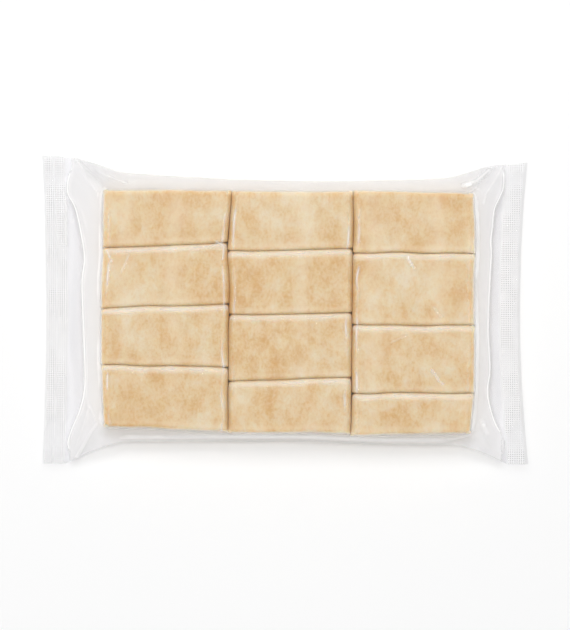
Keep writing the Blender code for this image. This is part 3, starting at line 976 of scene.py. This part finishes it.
def smokedTofuSkin():
    # Pressed soy curd, lightly hot-smoked: a matte, fine-grained cream skin that the smoke has tanned in
    # soft golden blotches, browner down the cut sides (partly painted shade between blocks) and painted
    # paler where light falls on shoulders, seams and outer sides, a little see-through like any wet curd.
    material, tree = newMaterial("smoked tofu skin")
    place = addNode(tree, 'TexCoord').outputs["Object"]
    drawn = addNode(tree, 'VectorMath', {0: place, 1: tofuLook["stretch"]}, operation='MULTIPLY')
    tone = None
    for size, share, detail in tofuLook["layers"]:
        layer = addNode(tree, 'TexNoise', {
            "Vector": drawn.outputs[0], "Scale": 1000 / size, "Detail": detail,
            "Roughness": tofuLook["softness"]})
        tone = addNode(tree, 'Math', {
            0: layer.outputs[0], 1: share, 2: tone.outputs[0] if tone else 0.0}, operation='MULTIPLY_ADD')
    smoke = addNode(tree, 'ValToRGB', {0: tone.outputs[0]})
    stops = smoke.color_ramp.elements
    low, middle, high = tofuLook["rampStops"]
    stops[0].position, stops[0].color = low, hexColour(tofuLook["golden"])
    stops[1].position, stops[1].color = high, hexColour(tofuLook["pale"])
    stops.new(middle).color = hexColour(tofuLook["flesh"])
    band = addNode(tree, 'Attribute', attribute_name="paleAndPaintedLight")
    banded = addNode(tree, 'Mix', {
        0: band.outputs["Fac"], 6: smoke.outputs[0], 7: hexColour(tofuLook["shoulder"])}, data_type='RGBA')
    speckLow, speckHigh = tofuLook["speckTones"]
    dotted = addNode(tree, 'MapRange', {
        0: layer.outputs[0], 1: speckLow, 2: speckHigh, 4: tofuLook["speckShare"]})
    specked = addNode(tree, 'Mix', {
        0: dotted.outputs[0], 6: banded.outputs[2], 7: hexColour(tofuLook["speck"])}, data_type='RGBA')
    rindAndShade = addNode(tree, 'Attribute', attribute_name="rindAndShade")
    edged = addNode(tree, 'Mix', {
        0: rindAndShade.outputs["Fac"], 6: specked.outputs[2], 7: hexColour(tofuLook["rindAndShade"])}, data_type='RGBA')
    bump = addNode(tree, 'Bump', {
        "Height": layer.outputs[0], "Strength": tofuLook["grainBump"], "Distance": tofuLook["grainDepth"]})
    shader = addNode(tree, 'BsdfPrincipled', {
        "Base Color": edged.outputs[2], "Roughness": tofuLook["roughness"], "IOR": tofuLook["ior"],
        "Normal": bump.outputs[0], "Subsurface Weight": tofuLook["seeThrough"],
        "Subsurface Radius": tofuLook["seeThroughRadius"], "Subsurface Scale": tofuLook["seeThroughDepth"]})
    addNode(tree, 'OutputMaterial', {"Surface": shader.outputs[0]})
    return material


studio = {
    "cameraHeight": 2.5,
    "viewHeight": 0.3875,
    "sensorWidth": 36.0,
    "centre": (-0.0002, -0.0031),
    "focusPlane": 0.018,
    # the world's light from overhead and all around, and how far up it changes
    "overhead": 0.75,
    "around": 0.25,
    "overheadZone": (0.86, 0.97),
    "paper": "#F9F9F9",
    "floorReach": 3,
}

lamps = (
    # name, place, width and length, power, whether it lights surfaces and whether they mirror it
    ("overhead", (-0.1, 0.1, 2.6), (0.75, 0.75), 27.0, True, False),
    ("far_box", (-0.12, 0.95, 1.7), (0.9, 0.7), 13.0, True, False),
    ("far_card", (-0.1, 1.4, 1.0), (1.6, 1.6), 3.5, False, True),
    ("left_card", (-1.5, 0.1, 0.1), (1.4, 0.25), 6.5, True, False),
    ("right_card", (1.5, 0.1, 0.1), (1.4, 0.25), 6.0, True, False),
    ("back_card", (0.0, 1.5, 0.1), (1.4, 0.25), 3.5, True, False),
    ("near_card", (0.0, -1.5, 0.1), (1.4, 0.25), 5.0, True, False),
    ("left_strip", (-0.62, 0.0, 1.4), (1.2, 0.25), 0.45, False, True),
    ("right_strip", (0.62, 0.0, 1.4), (1.2, 0.25), 0.4, False, True),
)


def makeCamera():
    scene = bpy.context.scene
    scene.view_settings.view_transform = 'Standard'
    scene.view_settings.look = 'None'
    lens = bpy.data.cameras.new("camera")
    lens.sensor_width = studio["sensorWidth"]
    lens.lens = studio["sensorWidth"] * studio["cameraHeight"] / studio["viewHeight"]
    lens.clip_end = 20.0
    camera = addObject("camera", lens)
    camera.location = (*studio["centre"], studio["focusPlane"] + studio["cameraHeight"])
    scene.camera = camera


def makeLight():
    world = bpy.data.worlds.new("soft box room")
    world.use_nodes = True
    tree = world.node_tree
    tree.nodes.clear()
    way = addNode(tree, 'TexCoord')
    parts = addNode(tree, 'SeparateXYZ', {0: way.outputs["Generated"]})
    low, high = studio["overheadZone"]
    level = addNode(tree, 'MapRange', {
        0: parts.outputs["Z"], 1: low, 2: high, 3: studio["around"], 4: studio["overhead"]},
        interpolation_type='SMOOTHSTEP')
    sky = addNode(tree, 'Background', {"Color": (1, 1, 1, 1), "Strength": level.outputs[0]})
    addNode(tree, 'OutputWorld', {"Surface": sky.outputs[0]})
    bpy.context.scene.world = world

    for name, place, size, power, lights, mirrored in lamps:
        lamp = bpy.data.lights.new(name, 'AREA')
        lamp.shape = 'RECTANGLE'
        lamp.size, lamp.size_y = size
        lamp.energy = power
        stand = addObject(name, lamp)
        stand.location = place
        stand.rotation_euler = (-stand.location).to_track_quat('-Z', 'Y').to_euler()
        stand.visible_diffuse = lights
        stand.visible_glossy = mirrored


def whitePaperSweep():
    # A roll of matt white background paper: pale and even, with no gloss at all.
    material, tree = newMaterial("white paper sweep")
    paper = addNode(tree, 'BsdfPrincipled', {
        "Base Color": hexColour(studio["paper"]), "Roughness": 0.9, "Specular IOR Level": 0.0})
    addNode(tree, 'OutputMaterial', {"Surface": paper.outputs[0]})
    return material


def makeFloor():
    reach = studio["floorReach"]
    corners = [(-reach, -reach, 0), (reach, -reach, 0), (reach, reach, 0), (-reach, reach, 0)]
    mesh = bpy.data.meshes.new("floor")
    mesh.from_pydata(corners, [], [(0, 1, 2, 3)])
    mesh.materials.append(whitePaperSweep())
    addObject("floor", mesh)


print("studio")
makeCamera()
makeLight()
makeFloor()
print("film")
filmMaterial = coextrudedPouchFilm()
sheets = [makeSheet("pouch_film_top", filmMesh["openCells"], filmMaterial, True),
          makeSheet("pouch_film_base", filmMesh["baseCells"], filmMaterial, False),
          makeEndSeal("end_seal_left", -1, filmMaterial),
          makeEndSeal("end_seal_right", 1, filmMaterial)]
for sheet in sheets:
    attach(sheet, "root")
    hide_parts("tofu_pack")
print("tofu")
tofuMaterial = smokedTofuSkin()
for column, row in blockPlans:
    block = makeTofu(column, row, tofuMaterial)
    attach(block, "root")
